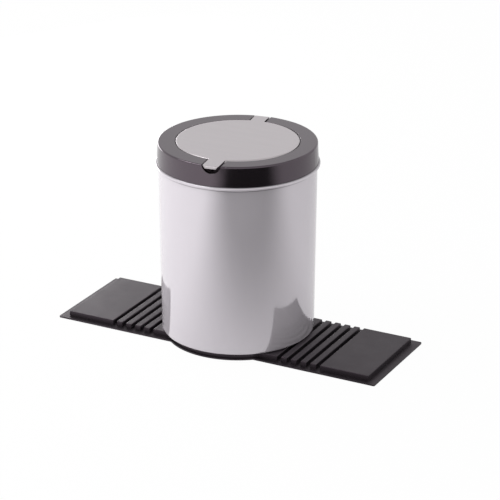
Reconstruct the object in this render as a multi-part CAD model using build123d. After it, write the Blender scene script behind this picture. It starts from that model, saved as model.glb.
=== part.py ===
from build123d import *
import os
from math import sqrt

# A car litter bin: a lidded metal can riveted to a rubber mat that drapes over the floor tunnel.
# Millimetres. The origin is on the can's axis where the mat meets the floor, X along the mat, Z up.

# Mat
mat_length = 340.0
mat_width = 108.0
sheet_thickness = 1.5
raised_height = 5.0
side_margin = 5.6
end_margin = 8.7
rib_count = 4
rib_width = 6.2
rib_gap = 3.95
rib_top_round = 0.8
mat_top_round = 0.7
mat_corner_round = 1.1
sheet_corner_round = 1.5

# Round seat of the mat, set back under the can's foot
seat_setback = 5.4
seat_lip = 2.0
block_inset = 0.8

# Can
can_height = 168.7
can_top_radius = 75.0
can_bottom_radius = 73.2
can_sheet = 0.7
can_foot_bend = 1.7
rim_roll_bend = 1.0
rim_roll_sweep = 290.0

# Rivets between can and mat
rivet_count = 3
rivet_circle_radius = 32.0
rivet_radius = 2.0
rivet_clearance = 0.1
rivet_head_radius = 4.0
rivet_head_height = 1.1
rivet_head_edge = 0.5
washer_radius = 7.0
washer_thickness = 1.0
pocket_clearance = 0.5
pocket_depth = 2.5

# Lid ring, measured from the rolled rim that it sits on
lid_turn = 9.0
lid_seat_gap = 0.2
lid_height = 19.4
lid_wall = 2.0
skirt_lip = 0.1
skirt_draft = 0.9
shoulder_round = 1.6
collar_depth = 8.0
collar_wall = 1.8
collar_clearance = 0.4
collar_chamfer = 0.8
ring_band = 16.2
ring_edge_round = 0.4
ledge_drop = 2.5
ledge_width = 3.1
ledge_thickness = 1.6

# Flap
flap_sheet = 1.0
flap_depth = 2.6
flap_gap = 0.75
flap_rest_gap = 0.3
flap_bend_radius = 0.2
tab_overlap = 4.5

# Front tab, bent down past the shoulder, and the trough for a fingertip under it
front_tab_width = 15.4
front_tab_gap = 1.7
front_tab_bend_radius = 0.3
front_tab_drop = 2.7
front_tab_clip = 2.5
front_tab_stand_out = 2.0
trough_depth = 7.6
trough_wall = 1.8
trough_edge_round = 0.4

# Rear tab, rolled around the hinge pin
rear_tab_width = 14.0
rear_tab_gap = 1.5
knuckle_sweep = 270.0
knuckle_gap = 0.5
pin_radius = 1.5
pin_running_clearance = 0.05
pin_seat_clearance = 0.02
pin_chamfer = 0.3
hinge_setback = 3.5
lug_thickness = 3.2
lug_margin = 1.7

# Heights
mat_top = sheet_thickness + raised_height
can_floor = mat_top + can_sheet
rim_top = mat_top + can_height
lid_seat = rim_top + lid_seat_gap
lid_top = lid_seat + lid_height
ledge_top = lid_top - ledge_drop
flap_edge = ledge_top + flap_rest_gap
flap_top = flap_edge + flap_depth
flap_bottom = flap_top - flap_sheet

# Mat layout
raised_half_width = mat_width / 2 - side_margin
seat_radius = can_bottom_radius - seat_setback
block_half_length = seat_radius - block_inset
rib_pitch = rib_width + rib_gap
pad_inner = block_half_length + rib_gap + rib_count * rib_pitch
pad_outer = mat_length / 2 - end_margin

# Can rim
rim_roll_outer = rim_roll_bend + can_sheet
rim_crest_radius = can_top_radius + rim_roll_bend
rim_roll_height = rim_top - rim_roll_outer

# Lid radii
skirt_radius = rim_crest_radius + skirt_lip
skirt_top_radius = skirt_radius - skirt_draft
collar_radius = can_top_radius - can_sheet - collar_clearance
collar_inner_radius = collar_radius - collar_wall
opening_radius = skirt_top_radius - ring_band
mouth_radius = opening_radius - ledge_width
flap_radius = opening_radius - flap_gap
trough_half_width = front_tab_width / 2 + front_tab_gap
trough_radius = (trough_half_width**2 + trough_depth**2) / (2 * trough_depth)
trough_axis = lid_top - trough_depth + trough_radius
rear_slot_half = rear_tab_width / 2 + rear_tab_gap

# Hinge
knuckle_bore = pin_radius + pin_running_clearance
knuckle_radius = knuckle_bore + flap_sheet
hinge_y = skirt_top_radius - hinge_setback
hinge_z = flap_bottom - knuckle_bore
pin_half_length = rear_slot_half + lug_thickness


def span_box(low, high):
    """Box between two opposite corners."""
    size = [b - a for a, b in zip(low, high)]
    centre = [(a + b) / 2 for a, b in zip(low, high)]
    return Pos(*centre) * Box(*size)


def corner(face, x, y):
    """Corner of a flat outline nearest to a point."""
    return face.vertices().sort_by_distance((x, y, 0))[0]


def turned(profile):
    """Solid of revolution about Z from an outline of radius and height."""
    return revolve(Plane.XZ * profile, Axis.Z)


def across(radius, half_length, y, z):
    """Cylinder along X, centred on the lid's plane of symmetry."""
    return Pos(0, y, z) * Rot(0, 90, 0) * Cylinder(radius, 2 * half_length)


def rivet_places():
    """Places of the rivets around the can's axis."""
    return PolarLocations(rivet_circle_radius, rivet_count)


def raised_form(x_low, x_high, top_round):
    """Rounded block of rubber across the mat, from inside the sheet to the top level."""
    half = raised_half_width
    block = span_box((x_low, -half, 0), (x_high, half, mat_top))
    block = fillet(block.edges().filter_by(Axis.Z), mat_corner_round)
    return fillet(block.faces().sort_by(Axis.Z)[-1].edges(), top_round)


def make_base_mat():
    """Rubber mat: sheet, round seat, centre block, ribs and end pads in one moulding."""
    sheet = extrude(RectangleRounded(mat_length, mat_width, sheet_corner_round), sheet_thickness)
    sheet += extrude(Circle(seat_radius + seat_lip), sheet_thickness)
    seat = extrude(Circle(seat_radius), mat_top)
    seat = fillet(seat.faces().sort_by(Axis.Z)[-1].edges(), mat_top_round)
    block = raised_form(-block_half_length, block_half_length, mat_top_round)
    mat = sheet + seat + block
    for side in (-1, 1):
        spans = [(pad_inner, pad_outer, mat_top_round)]
        for index in range(rib_count):
            start = block_half_length + rib_gap + index * rib_pitch
            spans.append((start, start + rib_width, rib_top_round))
        for near, far, top_round in spans:
            low, high = sorted((side * near, side * far))
            mat += raised_form(low, high, top_round)
    hole = extrude(Circle(rivet_radius + rivet_clearance), mat_top)
    pocket = extrude(Circle(washer_radius + pocket_clearance), pocket_depth)
    for place in rivet_places():
        mat -= place * (hole + pocket)
    return mat


def make_can():
    """Drawn can: flat floor, rounded foot, tapered wall and a rim rolled outwards."""
    inner_bottom = can_bottom_radius - can_sheet
    inner_top = can_top_radius - can_sheet
    roll_centre = (rim_crest_radius, rim_roll_height)
    roll_end = 180 - rim_roll_sweep
    inner_roll = CenterArc(roll_centre, rim_roll_bend, 180, -rim_roll_sweep)
    outer_roll = CenterArc(roll_centre, rim_roll_outer, roll_end, rim_roll_sweep)
    outline = Polyline(
        (inner_top, rim_roll_height),
        (inner_bottom, can_floor),
        (0, can_floor),
        (0, mat_top),
        (can_bottom_radius, mat_top),
        (can_top_radius, rim_roll_height),
    )
    profile = make_face(outline + inner_roll + Line(inner_roll @ 1, outer_roll @ 0) + outer_roll)
    profile = fillet(corner(profile, inner_bottom, can_floor), can_foot_bend)
    profile = fillet(corner(profile, can_bottom_radius, mat_top), can_foot_bend + can_sheet)
    can = turned(profile)
    hole = extrude(Circle(rivet_radius + rivet_clearance), can_floor)
    for place in rivet_places():
        can -= place * hole
    return can


def rivet_head():
    """Low domed rivet head standing on the ground plane."""
    head = Cylinder(rivet_head_radius, rivet_head_height, align=(Align.CENTER, Align.CENTER, Align.MIN))
    return fillet(head.edges().sort_by(Axis.Z)[-1], rivet_head_edge)


def make_rivets():
    """Rivets from the washers under the mat to the can's floor."""
    washer_bottom = pocket_depth - washer_thickness
    shank = Pos(0, 0, washer_bottom) * extrude(Circle(rivet_radius), can_floor - washer_bottom)
    lower = Pos(0, 0, washer_bottom) * Rot(180, 0, 0) * rivet_head()
    upper = Pos(0, 0, can_floor) * rivet_head()
    rivet = lower + shank + upper
    return Compound(children=[place * rivet for place in rivet_places()])


def make_rivet_washers():
    """Washers that seat against the roofs of the pockets under the mat."""
    ring = Circle(washer_radius) - Circle(rivet_radius + rivet_clearance)
    washer = Pos(0, 0, pocket_depth - washer_thickness) * extrude(ring, washer_thickness)
    return Compound(children=[place * washer for place in rivet_places()])


def lid_envelope():
    """Outer form of the lid ring without its hollow."""
    profile = make_face(Polyline(
        (0, lid_seat), (skirt_radius, lid_seat), (skirt_top_radius, lid_top), (0, lid_top), close=True,
    ))
    return turned(fillet(corner(profile, skirt_top_radius, lid_top), shoulder_round))


def ring_section():
    """Section of the lid ring: collar, seat, skirt, shoulder, top and the ledge under the flap."""
    ledge_bottom = ledge_top - ledge_thickness
    collar_bottom = lid_seat - collar_depth
    profile = make_face(Polyline(
        (collar_radius, collar_bottom),
        (collar_radius, lid_seat),
        (skirt_radius, lid_seat),
        (skirt_top_radius, lid_top),
        (opening_radius, lid_top),
        (opening_radius, ledge_top),
        (mouth_radius, ledge_top),
        (mouth_radius, ledge_bottom),
        (opening_radius + lid_wall, ledge_bottom),
        (opening_radius + lid_wall, lid_top - lid_wall),
        (skirt_top_radius - lid_wall, lid_top - lid_wall),
        (skirt_radius - lid_wall, lid_seat + lid_wall),
        (collar_inner_radius, lid_seat + lid_wall),
        (collar_inner_radius, collar_bottom),
        close=True,
    ))
    profile = fillet(corner(profile, skirt_top_radius, lid_top), shoulder_round)
    profile = fillet(corner(profile, opening_radius, lid_top), ring_edge_round)
    return chamfer(corner(profile, collar_radius, collar_bottom), collar_chamfer)


def trough(radius, y_inner):
    """Lying cylinder along the front tab, from a place inside the ring to past the skirt."""
    length = skirt_radius + lid_wall - y_inner
    return Pos(0, -y_inner - length / 2, trough_axis) * Rot(90, 0, 0) * Cylinder(radius, length)


def trough_mouth(ring):
    """Edge where the trough opens through the ring's skirt."""
    skirt_edges = ring.edges().filter_by_position(Axis.Y, -skirt_radius, -skirt_top_radius)
    return skirt_edges.sort_by_distance((0, -skirt_radius, lid_top - trough_depth))[0]


def make_lid_ring():
    """Moulded ring with a fingertip trough at the front and a hinge slot with pin lugs at the rear."""
    ring = turned(ring_section())
    envelope = lid_envelope()
    shell_radius = trough_radius + trough_wall
    below_flap = span_box(
        (-shell_radius, -skirt_radius, lid_seat), (shell_radius, -mouth_radius, ledge_top))
    ring += trough(shell_radius, mouth_radius) & envelope & below_flap
    ring -= trough(trough_radius, mouth_radius + trough_wall)
    ring = fillet(trough_mouth(ring), trough_edge_round)
    lug_reach = pin_radius + lug_margin
    lugs = span_box(
        (-pin_half_length, hinge_y - lug_reach, hinge_z - lug_reach),
        (pin_half_length, skirt_radius, lid_top),
    )
    ring += lugs & envelope
    knuckle_room = knuckle_radius + knuckle_gap
    past_skirt = skirt_radius + lid_wall
    ring -= span_box(
        (-rear_slot_half, mouth_radius, ledge_top), (rear_slot_half, past_skirt, lid_top + lid_wall))
    ring -= span_box(
        (-rear_slot_half, hinge_y - knuckle_room, hinge_z),
        (rear_slot_half, past_skirt, lid_top + lid_wall),
    )
    ring -= span_box(
        (-rear_slot_half, hinge_y, hinge_z - knuckle_room), (rear_slot_half, past_skirt, hinge_z))
    ring -= across(knuckle_room, rear_slot_half, hinge_y, hinge_z)
    ring -= across(pin_radius + pin_seat_clearance, pin_half_length, hinge_y, hinge_z)
    return Rot(0, 0, lid_turn) * ring


def flap_disc():
    """Shallow pressed pan, upside down: a flat disc with its edge turned down."""
    inner_radius = flap_radius - flap_sheet
    profile = make_face(Polyline(
        (0, flap_top),
        (flap_radius, flap_top),
        (flap_radius, flap_edge),
        (inner_radius, flap_edge),
        (inner_radius, flap_bottom),
        (0, flap_bottom),
        close=True,
    ))
    profile = fillet(corner(profile, flap_radius, flap_top), flap_bend_radius + flap_sheet)
    return turned(fillet(corner(profile, inner_radius, flap_bottom), flap_bend_radius))


def clip_wedge(side, bend_start):
    """Wedge that clips a corner of the front tab, square to the middle of its bend."""
    end_y = skirt_top_radius + front_tab_stand_out
    half = front_tab_width / 2
    reach = (end_y - bend_start + front_tab_drop) / sqrt(2)
    across_bend = Plane(origin=(0, -bend_start, flap_top), x_dir=(1, 0, 0), z_dir=(0, 1, -1))
    outline = make_face(Polyline(
        (side * half, 0), (side * (half - 2 * front_tab_clip), 2 * reach), (side * half, 2 * reach), close=True,
    ))
    return extrude(across_bend * outline, front_tab_drop, both=True)


def front_tab():
    """Tab that runs out past the ring's shoulder, bends square down and has clipped corners."""
    root = flap_radius - tab_overlap
    end_y = skirt_top_radius + front_tab_stand_out
    end_z = flap_top - front_tab_drop
    bend_outer = front_tab_bend_radius + flap_sheet
    profile = make_face(Polyline(
        (-root, flap_top),
        (-end_y, flap_top),
        (-end_y, end_z),
        (-end_y + flap_sheet, end_z),
        (-end_y + flap_sheet, flap_bottom),
        (-root, flap_bottom),
        close=True,
    ))
    profile = fillet(corner(profile, -end_y, flap_top), bend_outer)
    profile = fillet(corner(profile, -end_y + flap_sheet, flap_bottom), front_tab_bend_radius)
    tab = extrude(Plane.YZ * profile, front_tab_width / 2, both=True)
    for side in (-1, 1):
        tab -= clip_wedge(side, end_y - bend_outer)
    return tab


def rear_tab():
    """Tab that runs out over the ring and is rolled down around the hinge pin."""
    root = flap_radius - tab_overlap
    roll_centre = (hinge_y, hinge_z)
    roll_end = 90 - knuckle_sweep
    outer_roll = CenterArc(roll_centre, knuckle_radius, 90, -knuckle_sweep)
    inner_roll = CenterArc(roll_centre, knuckle_bore, roll_end, knuckle_sweep)
    outline = Polyline(
        (hinge_y, flap_bottom), (root, flap_bottom), (root, flap_top), (hinge_y, flap_top))
    profile = make_face(outline + outer_roll + Line(outer_roll @ 1, inner_roll @ 0) + inner_roll)
    return extrude(Plane.YZ * profile, rear_tab_width / 2, both=True)


def make_flap():
    """Pressed flap: disc, finger tab and rolled hinge tab in one sheet."""
    return Rot(0, 0, lid_turn) * (flap_disc() + front_tab() + rear_tab())


def make_hinge_pin():
    """Plain pin through both lugs and the rolled tab."""
    pin = across(pin_radius, pin_half_length, hinge_y, hinge_z)
    pin = chamfer(pin.edges().filter_by(GeomType.CIRCLE), pin_chamfer)
    return Rot(0, 0, lid_turn) * pin


parts = {
    "base_mat": make_base_mat(),
    "can": make_can(),
    "rivets": make_rivets(),
    "rivet_washers": make_rivet_washers(),
    "lid_ring": make_lid_ring(),
    "flap": make_flap(),
    "hinge_pin": make_hinge_pin(),
}

os.makedirs("parts", exist_ok=True)
for name, shape in parts.items():
    export_step(shape, f"parts/{name}.step")
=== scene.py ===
"""Looks of a car trash bin: a silver can with a black ring lid and a hinged flap, on a ribbed rubber mat.

Lengths are in metres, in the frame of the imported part: the can's axis is +Z and the mat lies along X.
"""

import logging
import math
from dataclasses import dataclass
from enum import Enum

import bpy
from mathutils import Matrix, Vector


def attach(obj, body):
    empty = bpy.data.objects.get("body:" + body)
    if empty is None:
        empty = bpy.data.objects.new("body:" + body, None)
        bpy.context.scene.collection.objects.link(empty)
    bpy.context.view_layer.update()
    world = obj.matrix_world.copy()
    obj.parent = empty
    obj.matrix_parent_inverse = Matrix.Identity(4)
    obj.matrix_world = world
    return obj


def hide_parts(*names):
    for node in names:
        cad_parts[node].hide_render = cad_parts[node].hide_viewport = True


Colour = tuple[float, float, float]
Place = tuple[float, float, float]
Size = float | int
Feed = bpy.types.NodeSocket | float | int | bool | tuple

MM = 0.001

log = logging.getLogger("car_trash_bin")
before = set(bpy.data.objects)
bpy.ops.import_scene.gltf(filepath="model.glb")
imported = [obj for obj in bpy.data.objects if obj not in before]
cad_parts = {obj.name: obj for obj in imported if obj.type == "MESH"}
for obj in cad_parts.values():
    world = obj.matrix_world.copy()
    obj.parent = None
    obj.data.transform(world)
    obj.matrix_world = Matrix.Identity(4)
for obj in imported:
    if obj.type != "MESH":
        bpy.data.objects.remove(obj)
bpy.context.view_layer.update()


class Body(Enum):
    """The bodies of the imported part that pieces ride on."""

    BASE = "base"
    LID = "lid"
    FLAP = "flap"


class Side(Enum):
    """The two sides of the can along the mat, by their direction in X."""

    LEFT = -1.0
    RIGHT = 1.0


class Merge(Enum):
    """How solids are put together, by the boolean node's own words."""

    JOIN = "UNION"
    CUT = "DIFFERENCE"


class NodeMaker:
    """Adds nodes to a tree and feeds their inputs."""

    def __init__(self, tree: bpy.types.NodeTree) -> None:
        """Keeps the tree to add to."""
        self.tree = tree

    def add(
        self, kind: str, feeds: dict[str | int, Feed] | None = None, **settings: object
    ) -> bpy.types.Node:
        """Adds a node.

        Args:
            kind: the node's type name.
            feeds: what goes into its inputs, by name or number.
            settings: properties of the node, set by name.

        Returns:
            The new node.
        """
        node = self.tree.nodes.new(kind)
        for name, value in settings.items():
            setattr(node, name, value)
        for socket, value in (feeds or {}).items():
            self.feed(node.inputs[socket], value)
        return node

    def feed(self, target: bpy.types.NodeSocket, value: Feed) -> None:
        """Joins an output to an input, or sets the input to a plain value.

        Args:
            target: the input.
            value: the output or the plain value.
        """
        if isinstance(value, bpy.types.NodeSocket):
            self.tree.links.new(value, target)
        else:
            target.default_value = value

    def graded(
        self, value: Feed, span: tuple[float, float], levels: tuple[Feed, Feed]
    ) -> bpy.types.NodeSocket:
        """Goes smoothly from one level to another.

        Args:
            value: what the level depends on.
            span: the values where the change starts and ends.
            levels: the levels there.

        Returns:
            The level.
        """
        feeds = {
            "Value": value, "From Min": span[0], "From Max": span[1],
            "To Min": levels[0], "To Max": levels[1],
        }
        return self.add("ShaderNodeMapRange", feeds, interpolation_type="SMOOTHSTEP").outputs["Result"]


class ShaderTree(NodeMaker):
    """One material's node tree, with a Principled surface that its finish dresses."""

    NOISE_LOW = 0.3
    NOISE_HIGH = 0.7

    def __init__(self, name: str) -> None:
        """Starts a material.

        Args:
            name: the material's name.
        """
        self.material = bpy.data.materials.new(name)
        self.material.use_nodes = True
        super().__init__(self.material.node_tree)
        self.tree.nodes.clear()
        self.surface = self.add("ShaderNodeBsdfPrincipled")
        self.output = self.add("ShaderNodeOutputMaterial", {"Surface": self.surface.outputs["BSDF"]})
        self.place = self.add("ShaderNodeTexCoord").outputs["Object"]

    def noise(self, spacing: float, detail: float = 2.0, stretch: Place = (1, 1, 1)) -> bpy.types.NodeSocket:
        """Adds a noise in the piece's own coordinates.

        Args:
            spacing: how far apart its spots lie, in metres.
            detail: octaves of finer noise.
            stretch: share of the noise's scale along X, Y and Z.

        Returns:
            The noise value, from 0 to 1.
        """
        mapping = self.add("ShaderNodeMapping", {"Vector": self.place, "Scale": stretch})
        feeds = {"Vector": mapping.outputs["Vector"], "Scale": 1 / spacing, "Detail": detail}
        return self.add("ShaderNodeTexNoise", feeds).outputs["Fac"]

    def spread(self, value: bpy.types.NodeSocket, middle: float, reach: float) -> bpy.types.NodeSocket:
        """Maps a noise value to a range.

        Args:
            value: the noise value, which mostly lies between the noise's low and high.
            middle: what 0.5 becomes.
            reach: how far the range goes either side.

        Returns:
            The mapped value.
        """
        feeds = {
            "Value": value, "From Min": self.NOISE_LOW, "From Max": self.NOISE_HIGH,
            "To Min": middle - reach, "To Max": middle + reach,
        }
        return self.add("ShaderNodeMapRange", feeds).outputs["Result"]

    def tint(self, value: bpy.types.NodeSocket, colour: Colour, reach: float) -> bpy.types.NodeSocket:
        """Makes a colour lighter and darker by a noise value.

        Args:
            value: the noise value, from 0 to 1.
            colour: the colour in the middle.
            reach: the share by which it gets darker at 0 and lighter at 1.

        Returns:
            The colour.
        """
        dark = (*(channel * (1 - reach) for channel in colour), 1)
        light = (*(channel * (1 + reach) for channel in colour), 1)
        # The Mix node's colours are its inputs 6 and 7, and the mixed colour is its output 2.
        return self.add("ShaderNodeMix", {0: value, 6: dark, 7: light}, data_type="RGBA").outputs[2]

    def creased(self, colour: Feed, height: float, reach: float, shade: float) -> bpy.types.NodeSocket:
        """Paints shade into a colour along a level line, as a painted shadow where the sheet is folded.

        Args:
            colour: the colour.
            height: the line's height in metres.
            reach: how far the painted shade reaches above and below it.
            shade: the share of the colour that is left on the line.

        Returns:
            The colour.
        """
        # Painted shade: the colour is scaled down in a band about the height, in place of shadow in the
        # fold.
        level = self.add("ShaderNodeSeparateXYZ", {0: self.place}).outputs["Z"]
        above = self.add("ShaderNodeMath", {0: level, 1: height}, operation="SUBTRACT").outputs[0]
        away = self.add("ShaderNodeMath", {0: above}, operation="ABSOLUTE").outputs[0]
        share = self.graded(away, (0.0, reach), (shade, 1.0))
        return self.add("ShaderNodeVectorMath", {0: colour, "Scale": share}, operation="SCALE").outputs[0]

    def bump(self, *layers: tuple[bpy.types.NodeSocket, float]) -> None:
        """Bends the surface's normals.

        Args:
            layers: each layer's height value and its depth in metres.
        """
        for height, depth in layers:
            node = self.add("ShaderNodeBump", {"Height": height, "Distance": depth})
            below = self.surface.inputs["Normal"].links
            if below:
                self.feed(node.inputs["Normal"], below[0].from_socket)
            self.feed(self.surface.inputs["Normal"], node.outputs["Normal"])


@dataclass(frozen=True)
class MouldedFinish:
    """A moulded black surface: an even satin with a fine eroded grain and faint cloudy patches.

    Sizes are in metres: grain and patch are how far apart their spots lie.
    """

    name: str
    colour: Colour
    gloss_tint: Colour
    roughness: float
    roughness_reach: float
    grain: float
    grain_depth: float
    patch: float
    patch_shade: float
    ior: float = 1.5

    def material(self) -> bpy.types.Material:
        """Builds the material.

        Returns:
            The material.
        """
        tree = ShaderTree(self.name)
        patches = tree.noise(self.patch, detail=3.0)
        grain = tree.noise(self.grain, detail=1.0)
        surface = tree.surface.inputs
        tree.feed(surface["Base Color"], tree.tint(patches, self.colour, self.patch_shade))
        tree.feed(surface["Roughness"], tree.spread(patches, self.roughness, self.roughness_reach))
        tree.feed(surface["IOR"], self.ior)
        tree.feed(surface["Specular Tint"], (*self.gloss_tint, 1))
        tree.bump((grain, self.grain_depth))
        return tree.material


@dataclass(frozen=True)
class SheetMetalFinish:
    """A metal sheet: faint rolling streaks along one direction, a slow waviness and painted shade lines
    along its folds.

    Sizes are in metres: streak and wave are how far apart their spots lie. The painted shade heights are the
    heights of the folds' shade lines.
    """

    name: str
    colour: Colour
    roughness: float
    roughness_reach: float
    streak: float
    streak_stretch: Place
    streak_shade: float
    streak_depth: float
    wave: float
    wave_depth: float
    metallic: float = 1.0
    # Painted shade: heights of dark lines painted into the colour, with their reach and darkness.
    creases: tuple[float, ...] = ()
    crease_reach: float = 1.3 * MM
    crease_shade: float = 0.4

    def material(self) -> bpy.types.Material:
        """Builds the material.

        Returns:
            The material.
        """
        tree = ShaderTree(self.name)
        streaks = tree.noise(self.streak, detail=3.0, stretch=self.streak_stretch)
        waves = tree.noise(self.wave, detail=0.0)
        surface = tree.surface.inputs
        colour = tree.tint(streaks, self.colour, self.streak_shade)
        # Painted shade: a dark line is painted into the colour at each fold height.
        for height in self.creases:
            colour = tree.creased(colour, height, self.crease_reach, self.crease_shade)
        tree.feed(surface["Base Color"], colour)
        tree.feed(surface["Roughness"], tree.spread(streaks, self.roughness, self.roughness_reach))
        tree.feed(surface["Metallic"], self.metallic)
        tree.bump((waves, self.wave_depth), (streaks, self.streak_depth))
        return tree.material


MAT_RUBBER = MouldedFinish(
    name="mat_rubber", colour=(0.006, 0.0052, 0.006), gloss_tint=(1.0, 0.8, 0.96), roughness=0.47,
    roughness_reach=0.03, grain=0.6 * MM, grain_depth=0.02 * MM, patch=20 * MM, patch_shade=0.12, ior=1.6)
RING_PLASTIC = MouldedFinish(
    name="ring_plastic", colour=(0.005, 0.0042, 0.005), gloss_tint=(1.0, 0.82, 0.96), roughness=0.12,
    roughness_reach=0.02, grain=0.5 * MM, grain_depth=0.01 * MM, patch=30 * MM, patch_shade=0.08, ior=2.0)
# The can's colour carries painted shade under its rolled rim and at the rim's top under the lid ring.
CAN_SILVER = SheetMetalFinish(
    name="can_silver", colour=(0.7, 0.66, 0.705), roughness=0.08, roughness_reach=0.01,
    streak=4 * MM, streak_stretch=(1, 1, 0.15), streak_shade=0.01, streak_depth=0.0002 * MM,
    wave=50 * MM, wave_depth=0.01 * MM, metallic=0.5, creases=(171.4 * MM, 175.4 * MM))
FLAP_SILVER = SheetMetalFinish(
    name="flap_silver", colour=(0.605, 0.565, 0.585), roughness=0.3, roughness_reach=0.02,
    streak=7 * MM, streak_stretch=(0.12, 1, 1), streak_shade=0.06, streak_depth=0.004 * MM,
    wave=40 * MM, wave_depth=0.01 * MM)
PLAIN_STEEL = SheetMetalFinish(
    name="plain_steel", colour=(0.55, 0.55, 0.56), roughness=0.3, roughness_reach=0.04,
    streak=1 * MM, streak_stretch=(1, 1, 0.2), streak_shade=0.04, streak_depth=0.002 * MM,
    wave=10 * MM, wave_depth=0.002 * MM)


class FormTree(NodeMaker):
    """A Geometry Nodes tree that makes one piece from named sizes."""

    SHARP_ANGLE = math.radians(35)
    BEVEL_ANGLE = math.radians(60)
    BEVEL_STEPS = 2
    WELD = 0.001 * MM

    def __init__(self, name: str, sizes: dict[str, Size]) -> None:
        """Starts a tree with one named input for each size.

        Args:
            name: the piece's name.
            sizes: the value of each input, by name; a whole number is a count.
        """
        super().__init__(bpy.data.node_groups.new(name, "GeometryNodeTree"))
        self.sizes = sizes
        for size, value in sizes.items():
            kind = "NodeSocketInt" if isinstance(value, int) else "NodeSocketFloat"
            self.tree.interface.new_socket(size, in_out="INPUT", socket_type=kind)
        self.tree.interface.new_socket("Piece", in_out="OUTPUT", socket_type="NodeSocketGeometry")
        self.inputs = self.add("NodeGroupInput").outputs
        self.index = self.add("GeometryNodeInputIndex").outputs[0]
        self.position = self.add("GeometryNodeInputPosition").outputs[0]

    def sum(self, *terms: Feed) -> bpy.types.NodeSocket:
        """Adds numbers up."""
        return self.chain("ADD", terms)

    def product(self, *factors: Feed) -> bpy.types.NodeSocket:
        """Multiplies numbers."""
        return self.chain("MULTIPLY", factors)

    def chain(self, operation: str, values: tuple[Feed, ...]) -> bpy.types.NodeSocket:
        """Runs one operation along a row of numbers.

        Args:
            operation: the Math node's operation.
            values: two or more numbers.

        Returns:
            The result.
        """
        result = values[0]
        for value in values[1:]:
            result = self.add("ShaderNodeMath", {0: result, 1: value}, operation=operation).outputs[0]
        return result

    def vector(self, x: Feed, y: Feed, z: Feed) -> bpy.types.NodeSocket:
        """Joins three numbers to a vector."""
        return self.add("ShaderNodeCombineXYZ", {0: x, 1: y, 2: z}).outputs[0]

    def along(self, operation: str, first: Feed, second: Feed = (0, 0, 0)) -> bpy.types.NodeSocket:
        """Runs a Vector Math operation on two vectors."""
        return self.add("ShaderNodeVectorMath", {0: first, 1: second}, operation=operation).outputs[0]

    def choose(self, kind: str, options: list[Feed]) -> bpy.types.NodeSocket:
        """Gives each point the option that has its index.

        Args:
            kind: the options' data type.
            options: one option for each point.

        Returns:
            The chosen option.
        """
        node = self.add("GeometryNodeIndexSwitch", data_type=kind)
        for _ in options[2:]:
            node.index_switch_items.new()
        self.feed(node.inputs["Index"], self.index)
        for number, option in enumerate(options):
            self.feed(node.inputs[str(number)], option)
        return node.outputs[0]

    def moved(self, mesh: Feed, position: Feed) -> bpy.types.NodeSocket:
        """Puts the points of a mesh in new places."""
        return self.add("GeometryNodeSetPosition", {"Geometry": mesh, "Position": position}).outputs[0]

    def shifted(self, mesh: Feed, shift: Feed) -> bpy.types.NodeSocket:
        """Shifts a mesh as a whole."""
        return self.add("GeometryNodeTransform", {"Geometry": mesh, "Translation": shift}).outputs[0]

    def joined(self, *meshes: Feed) -> bpy.types.NodeSocket:
        """Joins meshes and welds the points that meet.

        Args:
            meshes: the meshes.

        Returns:
            One mesh.
        """
        join = self.add("GeometryNodeJoinGeometry")
        for mesh in meshes:
            self.feed(join.inputs[0], mesh)
        feeds = {"Geometry": join.outputs[0], "Distance": self.WELD}
        return self.add("GeometryNodeMergeByDistance", feeds).outputs[0]

    def merged(self, merge: Merge, mesh: Feed | None, *others: Feed) -> bpy.types.NodeSocket:
        """Joins solids to one, or cuts the others out of the first.

        Args:
            merge: whether they are joined or cut out.
            mesh: the solid that is cut, or None where they are joined.
            others: the solids that are joined or cut out.

        Returns:
            The solid.
        """
        node = self.add("GeometryNodeMeshBoolean", operation=merge.value, solver="EXACT")
        if mesh is not None:
            self.feed(node.inputs["Mesh 1"], mesh)
        for other in others:
            self.feed(node.inputs["Mesh 2"], other)
        return node.outputs["Mesh"]

    def repeated(self, mesh: Feed, points: Feed) -> bpy.types.NodeSocket:
        """Puts a copy of a mesh on each point, as real geometry."""
        copies = self.add("GeometryNodeInstanceOnPoints", {"Points": points, "Instance": mesh})
        return self.add("GeometryNodeRealizeInstances", {"Geometry": copies.outputs[0]}).outputs[0]

    def end(self, form: Feed, material: bpy.types.Material) -> None:
        """Ends the tree: real geometry, shaded smooth up to its sharp edges, in its finish.

        Args:
            form: the finished geometry.
            material: its finish.
        """
        real = self.add("GeometryNodeRealizeInstances", {"Geometry": form}).outputs[0]
        angle = self.add("GeometryNodeInputMeshEdgeAngle").outputs["Unsigned Angle"]
        feeds = {0: angle, 1: self.SHARP_ANGLE}
        soft = self.add("FunctionNodeCompare", feeds, operation="LESS_THAN").outputs[0]
        feeds = {"Geometry": real, "Shade Smooth": True}
        smooth = self.add("GeometryNodeSetShadeSmooth", feeds).outputs[0]
        feeds = {"Geometry": smooth, "Shade Smooth": soft}
        edged = self.add("GeometryNodeSetShadeSmooth", feeds, domain="EDGE").outputs[0]
        feeds = {"Geometry": edged, "Material": material}
        self.add("NodeGroupOutput", {"Piece": self.add("GeometryNodeSetMaterial", feeds).outputs[0]})

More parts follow.
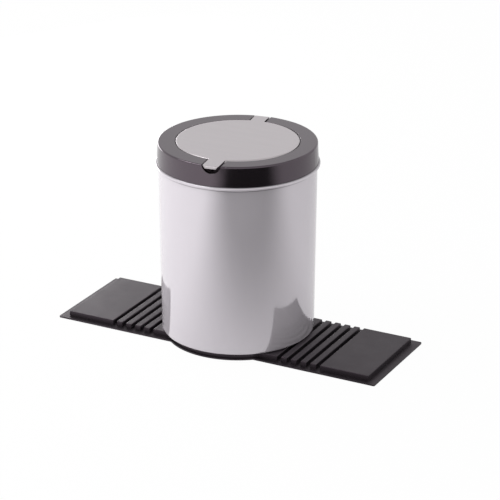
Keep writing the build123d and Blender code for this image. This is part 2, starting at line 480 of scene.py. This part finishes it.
    def make(
        self, piece_name: str, form: Feed, material: bpy.types.Material, edge_bevel: float = 0.0
    ) -> bpy.types.Object:
        """Ends the tree and turns its result into a plain mesh object.

        Args:
            piece_name: the object's name.
            form: the finished geometry.
            material: its finish.
            edge_bevel: how far its sharp edges are eased, or 0 to leave them.

        Returns:
            The piece, at the origin.
        """
        self.end(form, material)
        piece = bpy.data.objects.new(piece_name, bpy.data.meshes.new(piece_name))
        bpy.context.scene.collection.objects.link(piece)
        maker = piece.modifiers.new("form", "NODES")
        maker.node_group = self.tree
        for socket in self.tree.interface.items_tree:
            if socket.in_out == "INPUT":
                maker[socket.identifier] = self.sizes[socket.name]
        if edge_bevel:
            bevel = piece.modifiers.new("bevel", "BEVEL")
            bevel.limit_method = "ANGLE"
            bevel.angle_limit = self.BEVEL_ANGLE
            bevel.width = edge_bevel
            bevel.segments = self.BEVEL_STEPS
        normals = piece.modifiers.new("normals", "WEIGHTED_NORMAL")
        normals.keep_sharp = True
        shaped = piece.evaluated_get(bpy.context.evaluated_depsgraph_get())
        mesh = bpy.data.meshes.new_from_object(shaped)
        piece.modifiers.clear()
        piece.data = mesh
        log.info("made %s: %d faces", piece_name, len(mesh.polygons))
        return piece


@dataclass(frozen=True)
class Corner:
    """One corner of a turned outline: its radius, its height and the radius of the bend there."""

    name: str
    radius: float
    height: float
    bend: float = 0.0


class TurnedForm(FormTree):
    """A tree that turns an outline about the Z axis, with each of its corners bent to a radius."""

    def __init__(
        self, name: str, corners: list[Corner], turn_steps: int, bend_steps: int, **sizes: Size
    ) -> None:
        """Builds the turned surface.

        Args:
            name: the piece's name.
            corners: the outline, from the axis outwards and up.
            turn_steps: faces round the axis.
            bend_steps: points in each bend.
            sizes: more named inputs of the tree.
        """
        inputs: dict[str, Size] = {"turn steps": turn_steps, "bend steps": bend_steps, **sizes}
        for corner in corners:
            inputs[f"{corner.name} radius"] = corner.radius
            inputs[f"{corner.name} height"] = corner.height
            inputs[f"{corner.name} bend"] = corner.bend
        super().__init__(name, inputs)
        self.surface = self.turned(self.outline([corner.name for corner in corners]))

    def outline(self, names: list[str]) -> bpy.types.NodeSocket:
        """Draws the outline in the XZ plane.

        Args:
            names: the corners' names, in order.

        Returns:
            The outline as a curve.
        """
        sizes = self.inputs
        places = [self.vector(sizes[f"{name} radius"], 0.0, sizes[f"{name} height"]) for name in names]
        bends = [sizes[f"{name} bend"] for name in names]
        line = self.add("GeometryNodeMeshLine", {"Count": len(names)}).outputs[0]
        line = self.moved(line, self.choose("VECTOR", places))
        curve = self.add("GeometryNodeMeshToCurve", {"Mesh": line}).outputs[0]
        feeds = {
            "Curve": curve, "Count": sizes["bend steps"], "Radius": self.choose("FLOAT", bends),
            "Limit Radius": True,
        }
        return self.add("GeometryNodeFilletCurve", feeds, mode="POLY").outputs[0]

    def turned(self, curve: Feed) -> bpy.types.NodeSocket:
        """Turns the outline about the Z axis.

        Args:
            curve: the outline.

        Returns:
            The turned surface, with its faces outwards.
        """
        sizes = self.add("GeometryNodeAttributeDomainSize", {"Geometry": curve}, component="CURVE")
        points = sizes.outputs["Point Count"]
        steps = self.inputs["turn steps"]
        feeds = {"Vertices X": self.sum(steps, 1), "Vertices Y": points}
        grid = self.add("GeometryNodeMeshGrid", feeds).outputs[0]
        step = self.chain("FLOORED_MODULO", (self.index, points))
        turn = self.chain("DIVIDE", (self.index, points))
        turn = self.add("ShaderNodeMath", {0: turn}, operation="FLOOR").outputs[0]
        angle = self.product(self.chain("DIVIDE", (turn, steps)), math.tau)
        feeds = {"Geometry": curve, "Value": self.position, "Index": step}
        place = self.add("GeometryNodeSampleIndex", feeds, data_type="FLOAT_VECTOR").outputs[0]
        feeds = {"Vector": place, "Angle": angle}
        spun = self.add("ShaderNodeVectorRotate", feeds, rotation_type="Z_AXIS").outputs[0]
        return self.joined(self.moved(grid, spun))

    def walled(self, thickness: Feed) -> bpy.types.NodeSocket:
        """Gives the surface a wall on its inner side.

        Args:
            thickness: the wall's thickness.

        Returns:
            The closed wall.
        """
        inwards = self.product(thickness, -1.0)
        feeds = {"Mesh": self.surface, "Offset Scale": inwards, "Individual": False}
        inner = self.add("GeometryNodeExtrudeMesh", feeds, mode="FACES").outputs[0]
        inner = self.add("GeometryNodeFlipFaces", {"Mesh": inner}).outputs[0]
        return self.joined(self.surface, inner)


@dataclass
class Can:
    """The drawn can: flat floor, rounded foot, tapered wall and a rim rolled outwards."""

    foot_radius: float = 73.2 * MM
    top_radius: float = 75.0 * MM
    foot_height: float = 6.5 * MM
    rim_height: float = 173.5 * MM
    sheet: float = 0.7 * MM
    foot_bend: float = 2.4 * MM
    roll: float = 1.0 * MM
    roll_tail: float = 0.34 * MM
    turn_steps: int = 192
    bend_steps: int = 9

    def build(self, material: bpy.types.Material) -> bpy.types.Object:
        """Turns the can from its outline.

        Args:
            material: its finish.

        Returns:
            The can.
        """
        roll_top = self.rim_height + self.roll
        roll_bottom = self.rim_height - self.roll
        roll_outside = self.top_radius + 2 * self.roll
        corners = [
            Corner("floor middle", 0.0, self.foot_height),
            Corner("foot", self.foot_radius, self.foot_height, self.foot_bend),
            Corner("rim inside", self.top_radius, roll_top, self.roll),
            Corner("rim crest", roll_outside, roll_top, self.roll),
            Corner("rim underside", roll_outside, roll_bottom, self.roll),
            Corner("rim end", self.top_radius + self.roll - self.roll_tail, roll_bottom),
        ]
        form = TurnedForm("can_form", corners, self.turn_steps, self.bend_steps, sheet=self.sheet)
        can = form.make("can_shell", form.walled(form.inputs["sheet"]), material)
        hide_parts("can")
        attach(can, Body.BASE.value)
        return can


@dataclass
class Rivets:
    """The rivets that hold the can to the mat, with a washer under each."""

    count: int = 3
    circle_radius: float = 32.0 * MM
    shank_radius: float = 2.0 * MM
    head_radius: float = 4.0 * MM
    head_height: float = 1.1 * MM
    head_edge: float = 0.5 * MM
    washer_radius: float = 7.0 * MM
    washer_bore: float = 2.1 * MM
    washer_bottom: float = 1.5 * MM
    washer_top: float = 2.5 * MM
    can_floor: float = 7.2 * MM
    turn_steps: int = 40
    bend_steps: int = 4

    def spread_out(self, form: TurnedForm) -> bpy.types.NodeSocket:
        """Puts copies of a turned form round the rivet circle.

        Args:
            form: the form's tree, with inputs for the count and the circle.

        Returns:
            All the copies.
        """
        feeds = {"Vertices": form.inputs["count"], "Radius": form.inputs["circle radius"]}
        circle = form.add("GeometryNodeMeshCircle", feeds).outputs[0]
        return form.repeated(form.surface, circle)

    def circle_sizes(self) -> dict[str, Size]:
        """The inputs that place the copies."""
        return {"count": self.count, "circle radius": self.circle_radius}

    def build_rivets(self, material: bpy.types.Material) -> bpy.types.Object:
        """Turns the rivets.

        Args:
            material: their finish.

        Returns:
            The rivets.
        """
        lower = self.washer_bottom - self.head_height
        upper = self.can_floor + self.head_height
        corners = [
            Corner("lower middle", 0.0, lower),
            Corner("lower edge", self.head_radius, lower, self.head_edge),
            Corner("lower seat", self.head_radius, self.washer_bottom),
            Corner("shank bottom", self.shank_radius, self.washer_bottom),
            Corner("shank top", self.shank_radius, self.can_floor),
            Corner("upper seat", self.head_radius, self.can_floor),
            Corner("upper edge", self.head_radius, upper, self.head_edge),
            Corner("upper middle", 0.0, upper),
        ]
        form = TurnedForm("rivet_form", corners, self.turn_steps, self.bend_steps, **self.circle_sizes())
        rivets = form.make("rivet_set", self.spread_out(form), material)
        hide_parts("rivets")
        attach(rivets, Body.BASE.value)
        return rivets

    def build_washers(self, material: bpy.types.Material) -> bpy.types.Object:
        """Turns the washers.

        Args:
            material: their finish.

        Returns:
            The washers.
        """
        corners = [
            Corner("bore bottom", self.washer_bore, self.washer_bottom),
            Corner("rim bottom", self.washer_radius, self.washer_bottom),
            Corner("rim top", self.washer_radius, self.washer_top),
            Corner("bore top", self.washer_bore, self.washer_top),
            Corner("bore end", self.washer_bore, self.washer_bottom),
        ]
        form = TurnedForm("washer_form", corners, self.turn_steps, self.bend_steps, **self.circle_sizes())
        washers = form.make("washer_set", self.spread_out(form), material)
        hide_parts("rivet_washers")
        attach(washers, Body.BASE.value)
        return washers


@dataclass
class RubberMat:
    """The moulded mat: a thin sheet with a round seat, a centre block, cross ribs and end pads."""

    length: float = 340.0 * MM
    width: float = 108.0 * MM
    sheet: float = 1.5 * MM
    corner_round: float = 1.5 * MM
    top: float = 6.5 * MM
    rooted: float = 0.2 * MM
    raised_width: float = 96.8 * MM
    block_length: float = 134.0 * MM
    seat_radius: float = 67.8 * MM
    lip_radius: float = 69.8 * MM
    rib_count: int = 4
    rib_width: float = 6.2 * MM
    rib_gap: float = 3.95 * MM
    rib_round: float = 0.8 * MM
    pad_length: float = 49.75 * MM
    pad_round: float = 0.7 * MM
    pocket_count: int = 3
    pocket_circle: float = 32.0 * MM
    pocket_radius: float = 7.5 * MM
    pocket_depth: float = 2.5 * MM
    edge_bevel: float = 0.3 * MM
    round_steps: int = 6
    disc_steps: int = 192

    def sizes(self) -> dict[str, Size]:
        """Works out the tree's inputs.

        Returns:
            The value of each input, by name.
        """
        first_rib = self.block_length / 2 + self.rib_gap + self.rib_width / 2
        rib_step = self.rib_width + self.rib_gap
        last_rib = first_rib + (self.rib_count - 1) * rib_step
        return {
            "length": self.length, "width": self.width, "sheet": self.sheet,
            "corner round": self.corner_round, "top": self.top, "rooted": self.rooted,
            "raised width": self.raised_width, "block length": self.block_length,
            "seat radius": self.seat_radius, "lip radius": self.lip_radius,
            "rib count": self.rib_count, "rib width": self.rib_width, "rib round": self.rib_round,
            "first rib": first_rib, "rib step": rib_step, "pad length": self.pad_length,
            "pad middle": last_rib + self.rib_width / 2 + self.rib_gap + self.pad_length / 2,
            "pad round": self.pad_round, "pocket count": self.pocket_count,
            "pocket circle": self.pocket_circle, "pocket radius": self.pocket_radius,
            "pocket depth": self.pocket_depth,
            "round steps": self.round_steps, "disc steps": self.disc_steps,
        }

    @staticmethod
    def rounded_block(form: FormTree, length: str, edge_round: str) -> bpy.types.NodeSocket:
        """Makes a raised block across the mat with all its edges rounded, rooted in the sheet.

        Args:
            form: the mat's tree.
            length: the input that holds its length along the mat.
            edge_round: the input that holds its edges' radius.

        Returns:
            The block, above the mat's middle.
        """
        sizes = form.inputs
        steps = form.product(sizes["round steps"], 2)
        feeds = {f"Vertices {axis}": steps for axis in "XYZ"}
        cube = form.add("GeometryNodeMeshCube", {**feeds, "Size": (2, 2, 2)}).outputs["Mesh"]
        nearest = form.chain("DIVIDE", (1.0, form.sum(steps, -1)))
        inset = form.vector(nearest, nearest, nearest)
        share = form.along("SUBTRACT", form.along("ABSOLUTE", form.position), inset)
        side = form.along("SIGN", form.position)
        radius = form.vector(*[sizes[edge_round]] * 3)
        ball = form.along("MULTIPLY", form.along("NORMALIZE", share), radius)
        height = form.chain("SUBTRACT", (sizes["top"], sizes["rooted"]))
        extents = form.vector(sizes[length], sizes["raised width"], height)
        half = form.along("MULTIPLY", extents, (0.5, 0.5, 0.5))
        core = form.along("SUBTRACT", half, radius)
        block = form.moved(cube, form.along("MULTIPLY", side, form.along("ADD", ball, core)))
        middle = form.product(form.sum(sizes["top"], sizes["rooted"]), 0.5)
        return form.shifted(block, form.vector(0.0, 0.0, middle))

    @staticmethod
    def disc(form: FormTree, radius: str, height: Feed) -> bpy.types.NodeSocket:
        """Makes a disc that stands on the floor.

        Args:
            form: the mat's tree.
            radius: the input that holds its radius.
            height: its height.

        Returns:
            The disc.
        """
        sizes = form.inputs
        feeds = {"Vertices": sizes["disc steps"], "Radius": sizes[radius], "Depth": height}
        disc = form.add("GeometryNodeMeshCylinder", feeds).outputs["Mesh"]
        return form.shifted(disc, form.vector(0.0, 0.0, form.product(height, 0.5)))

    @staticmethod
    def row(form: FormTree, count: Feed, start: Feed, step: Feed, side: Side) -> bpy.types.NodeSocket:
        """Sets points along the mat on one side.

        Args:
            form: the mat's tree.
            count: how many points.
            start: the first one's distance from the middle.
            step: from one to the next.
            side: the side.

        Returns:
            The points.
        """
        feeds = {
            "Count": count,
            "Start Location": form.vector(form.product(start, side.value), 0.0, 0.0),
            "Offset": form.vector(form.product(step, side.value), 0.0, 0.0),
        }
        return form.add("GeometryNodeMeshLine", feeds).outputs[0]

    def sheet_plate(self, form: FormTree) -> bpy.types.NodeSocket:
        """Makes the thin sheet with rounded corners.

        Args:
            form: the mat's tree.

        Returns:
            The sheet.
        """
        sizes = form.inputs
        feeds = {"Width": sizes["length"], "Height": sizes["width"]}
        outline = form.add("GeometryNodeCurvePrimitiveQuadrilateral", feeds).outputs[0]
        feeds = {"Curve": outline, "Count": sizes["round steps"], "Radius": sizes["corner round"]}
        outline = form.add("GeometryNodeFilletCurve", feeds, mode="POLY").outputs[0]
        plate = form.add("GeometryNodeFillCurve", {"Curve": outline}, mode="NGONS").outputs[0]
        under = form.add("GeometryNodeFlipFaces", {"Mesh": plate}).outputs[0]
        feeds = {"Mesh": plate, "Offset Scale": sizes["sheet"], "Individual": False}
        over = form.add("GeometryNodeExtrudeMesh", feeds, mode="FACES").outputs[0]
        return form.joined(under, over)

    def build(self, material: bpy.types.Material) -> bpy.types.Object:
        """Moulds the mat.

        Args:
            material: its finish.

        Returns:
            The mat.
        """
        form = FormTree("mat_form", self.sizes())
        sizes = form.inputs
        solids = [
            self.sheet_plate(form),
            self.disc(form, "lip radius", sizes["sheet"]),
            self.disc(form, "seat radius", sizes["top"]),
            self.rounded_block(form, "block length", "pad round"),
        ]
        rib = self.rounded_block(form, "rib width", "rib round")
        pad = self.rounded_block(form, "pad length", "pad round")
        for side in Side:
            ribs = self.row(form, sizes["rib count"], sizes["first rib"], sizes["rib step"], side)
            solids.append(form.repeated(rib, ribs))
            solids.append(form.repeated(pad, self.row(form, 1, sizes["pad middle"], 0.0, side)))
        mat = form.merged(Merge.JOIN, None, *solids)
        feeds = {"Vertices": sizes["pocket count"], "Radius": sizes["pocket circle"]}
        places = form.add("GeometryNodeMeshCircle", feeds).outputs[0]
        pocket = self.disc(form, "pocket radius", form.product(sizes["pocket depth"], 2.0))
        pocket = form.shifted(pocket, form.vector(0.0, 0.0, form.product(sizes["pocket depth"], -1.0)))
        mat = form.merged(Merge.CUT, mat, form.repeated(pocket, places))
        piece = form.make("mat_moulding", mat, material, self.edge_bevel)
        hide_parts("base_mat")
        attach(piece, Body.BASE.value)
        return piece


@dataclass
class Lid:
    """The ring lid with its flap and hinge pin, as packed, in their finishes."""

    ring_node: str = "lid_ring"
    flap_node: str = "flap"
    pin_node: str = "hinge_pin"

    def dress(self, ring: bpy.types.Material, flap: bpy.types.Material, pin: bpy.types.Material) -> None:
        """Gives the lid's nodes their finishes.

        Args:
            ring: the finish of the moulded ring.
            flap: the finish of the pressed flap.
            pin: the finish of the hinge pin.
        """
        dressing = (
            (self.ring_node, Body.LID, ring),
            (self.flap_node, Body.FLAP, flap),
            (self.pin_node, Body.LID, pin),
        )
        for node, body, material in dressing:
            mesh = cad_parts[node].data
            mesh.materials.clear()
            mesh.materials.append(material)
            log.info("dressed %s on the %s in %s", node, body.value, material.name)


class PhotoView:
    """Where the photograph was taken from, in degrees, metres and pixels."""

    IMAGE_PIXELS = 500
    FOCAL_PIXELS = 2309.65
    AZIMUTH = 27.75
    ELEVATION = 21.99
    PLACE = (0.96151, -1.80298, 0.9089)
    SENSOR_MM = 36.0

    @classmethod
    def build_camera(cls) -> None:
        """Sets the camera at the photograph's viewing angle."""
        data = bpy.data.cameras.new("camera")
        data.sensor_width = cls.SENSOR_MM
        data.lens = cls.SENSOR_MM * cls.FOCAL_PIXELS / cls.IMAGE_PIXELS
        camera = bpy.data.objects.new("camera", data)
        camera.location = cls.PLACE
        camera.rotation_euler = (math.radians(90 - cls.ELEVATION), 0, math.radians(cls.AZIMUTH))
        bpy.context.scene.collection.objects.link(camera)
        bpy.context.scene.camera = camera


@dataclass(frozen=True)
class Softbox:
    """One soft lamp, placed by its turn from the camera and its height, and aimed at the object."""

    name: str
    turn: float
    lift: float
    watts: float
    distance: float = 1.6
    wide: float = 2.4
    high: float = 1.8
    aim_height: float = 0.08
    mirrored: bool = False

    def build(self) -> None:
        """Adds the lamp to the scene."""
        light = bpy.data.lights.new(self.name, "AREA")
        light.shape = "RECTANGLE"
        light.size = self.wide
        light.size_y = self.high
        light.energy = self.watts
        turn = math.radians(PhotoView.AZIMUTH + self.turn)
        lift = math.radians(self.lift)
        level = math.cos(lift)
        away = Vector((math.sin(turn) * level, -math.cos(turn) * level, math.sin(lift)))
        lamp = bpy.data.objects.new(self.name, light)
        lamp.location = self.distance * away + Vector((0, 0, self.aim_height))
        lamp.rotation_euler = (-away).to_track_quat("-Z", "Y").to_euler()
        lamp.visible_camera = False
        lamp.visible_glossy = self.mirrored
        bpy.context.scene.collection.objects.link(lamp)


SOFTBOXES = (
    Softbox("key_softbox", turn=-120, lift=35, watts=20.0),
    Softbox("front_softbox", turn=-30, lift=35, watts=5.0),
    Softbox(
        "edge_softbox", turn=-80, lift=50, watts=4.0, distance=1.4, wide=1.2, high=0.35, mirrored=True),
    Softbox(
        "wing_softbox", turn=-150, lift=5, watts=3.2, distance=1.0, wide=0.8, high=0.3, mirrored=True),
)


class RayLevels(NodeMaker):
    """Levels of white that depend on the kind of ray that meets a surface or the sky."""

    def __init__(self, tree: bpy.types.NodeTree) -> None:
        """Adds the node that tells rays apart."""
        super().__init__(tree)
        self.path = self.add("ShaderNodeLightPath").outputs

    def level(self, seen: Feed, mirrored: Feed, other: Feed) -> bpy.types.NodeSocket:
        """Picks a level by the kind of ray.

        Args:
            seen: for rays straight from the camera.
            mirrored: for rays by way of metal, gloss or glass.
            other: for all other rays.

        Returns:
            The level.
        """
        feeds = {0: self.path["Is Glossy Ray"], 1: self.path["Is Transmission Ray"]}
        by_mirror = self.add("ShaderNodeMath", feeds, operation="MAXIMUM").outputs[0]
        # The Mix node's numbers are its inputs 2 and 3.
        level = self.add("ShaderNodeMix", {0: by_mirror, 2: other, 3: mirrored}).outputs[0]
        return self.add("ShaderNodeMix", {0: self.path["Is Camera Ray"], 2: level, 3: seen}).outputs[0]


@dataclass
class Studio:
    """The pale floor, the white surroundings and the soft lamps."""

    floor_size: float = 12.0
    floor_drop: float = 0.1 * MM
    floor_colour: Colour = (0.8, 0.8, 0.8)
    floor_seen: float = 0.97
    left_mirrored: float = 1.08
    right_mirrored: float = 0.72
    side_span: float = 0.5
    dark_turn: float = 14.0
    dark_away: float = 1.0
    dark_wide: float = 0.62
    dark_long: float = 1.05
    dark_core: float = 0.6
    dark_edge: float = 1.05
    dark_mirrored: float = 0.04
    sky_mirrored: float = 0.8
    zenith_mirrored: float = 0.6
    sky_low: float = 0.5
    sky_fill: float = 0.6

    def floor_sheet(self) -> bpy.types.Object:
        """Makes the floor's mesh, just below the mat.

        Returns:
            The floor.
        """
        half = self.floor_size / 2
        corners = [(-half, -half, 0), (half, -half, 0), (half, half, 0), (-half, half, 0)]
        mesh = bpy.data.meshes.new("floor")
        mesh.from_pydata(corners, [], [(0, 1, 2, 3)])
        floor = bpy.data.objects.new("floor", mesh)
        floor.location.z = -self.floor_drop
        bpy.context.scene.collection.objects.link(floor)
        return floor

    def mirrored_floor(self, tree: ShaderTree) -> bpy.types.NodeSocket:
        """Sets how bright the floor is in mirrors: paler to the left, and dark in a long round in front.

        Args:
            tree: the floor's material.

        Returns:
            The level.
        """
        view = math.radians(PhotoView.AZIMUTH)
        feeds = {0: tree.place, 1: (math.cos(view), math.sin(view), 0)}
        across = tree.add("ShaderNodeVectorMath", feeds, operation="DOT_PRODUCT").outputs["Value"]
        sides = (-self.side_span, self.side_span)
        lit = tree.graded(across, sides, (self.left_mirrored, self.right_mirrored))
        turn = view + math.radians(self.dark_turn)
        feeds = {
            "Vector": tree.place,
            "Location": (self.dark_away * math.sin(turn), -self.dark_away * math.cos(turn), 0),
            "Rotation": (0, 0, turn),
            "Scale": (self.dark_wide, self.dark_long, 1),
        }
        spot = tree.add("ShaderNodeMapping", feeds, vector_type="TEXTURE").outputs[0]
        away = tree.add("ShaderNodeVectorMath", {0: spot}, operation="LENGTH").outputs["Value"]
        return tree.graded(away, (self.dark_core, self.dark_edge), (self.dark_mirrored, lit))

    def build_floor(self) -> None:
        """Lays the floor: white to the camera with a faint shadow, pale in mirrors, clear from beneath."""
        floor = self.floor_sheet()
        tree = ShaderTree("floor_paper")
        paper = tree.surface.inputs
        tree.feed(paper["Base Color"], (*self.floor_colour, 1))
        tree.feed(paper["Roughness"], 1.0)
        tree.feed(paper["Specular IOR Level"], 0.0)
        rays = RayLevels(tree.tree)
        share = rays.level(seen=self.floor_seen, mirrored=1.0, other=0.0)
        strength = rays.level(seen=1.0, mirrored=self.mirrored_floor(tree), other=0.0)
        white = tree.add("ShaderNodeEmission", {"Strength": strength}).outputs[0]
        feeds = {0: share, 1: tree.surface.outputs[0], 2: white}
        above = tree.add("ShaderNodeMixShader", feeds).outputs[0]
        clear = tree.add("ShaderNodeBsdfTransparent").outputs[0]
        beneath = tree.add("ShaderNodeNewGeometry").outputs["Backfacing"]
        one_sided = tree.add("ShaderNodeMixShader", {0: beneath, 1: above, 2: clear}).outputs[0]
        tree.feed(tree.output.inputs["Surface"], one_sided)
        floor.data.materials.append(tree.material)

    def build_sky(self) -> None:
        """Sets the world: white to the camera, dimmer in mirrors towards the zenith, and a soft fill."""
        world = bpy.data.worlds.new("sky")
        bpy.context.scene.world = world
        world.use_nodes = True
        world.node_tree.nodes.clear()
        rays = RayLevels(world.node_tree)
        place = rays.add("ShaderNodeTexCoord").outputs["Generated"]
        height = rays.add("ShaderNodeSeparateXYZ", {0: place}).outputs["Z"]
        mirrored = rays.graded(height, (self.sky_low, 1.0), (self.sky_mirrored, self.zenith_mirrored))
        strength = rays.level(seen=1.0, mirrored=mirrored, other=self.sky_fill)
        sky = rays.add("ShaderNodeBackground", {"Color": (1, 1, 1, 1), "Strength": strength}).outputs[0]
        rays.add("ShaderNodeOutputWorld", {"Surface": sky})

    def build(self, softboxes: tuple[Softbox, ...]) -> None:
        """Sets up the studio.

        Args:
            softboxes: its lamps.
        """
        self.build_floor()
        self.build_sky()
        for softbox in softboxes:
            softbox.build()
        bpy.context.scene.view_settings.view_transform = "Standard"


def main() -> None:
    """Builds the pieces, dresses them and sets up the studio."""
    logging.basicConfig(level=logging.INFO, format="%(name)s: %(message)s")
    steel = PLAIN_STEEL.material()
    RubberMat().build(MAT_RUBBER.material())
    Can().build(CAN_SILVER.material())
    rivets = Rivets()
    rivets.build_rivets(steel)
    rivets.build_washers(steel)
    Lid().dress(RING_PLASTIC.material(), FLAP_SILVER.material(), steel)
    Studio().build(SOFTBOXES)
    PhotoView.build_camera()


if __name__ == "__main__":
    main()
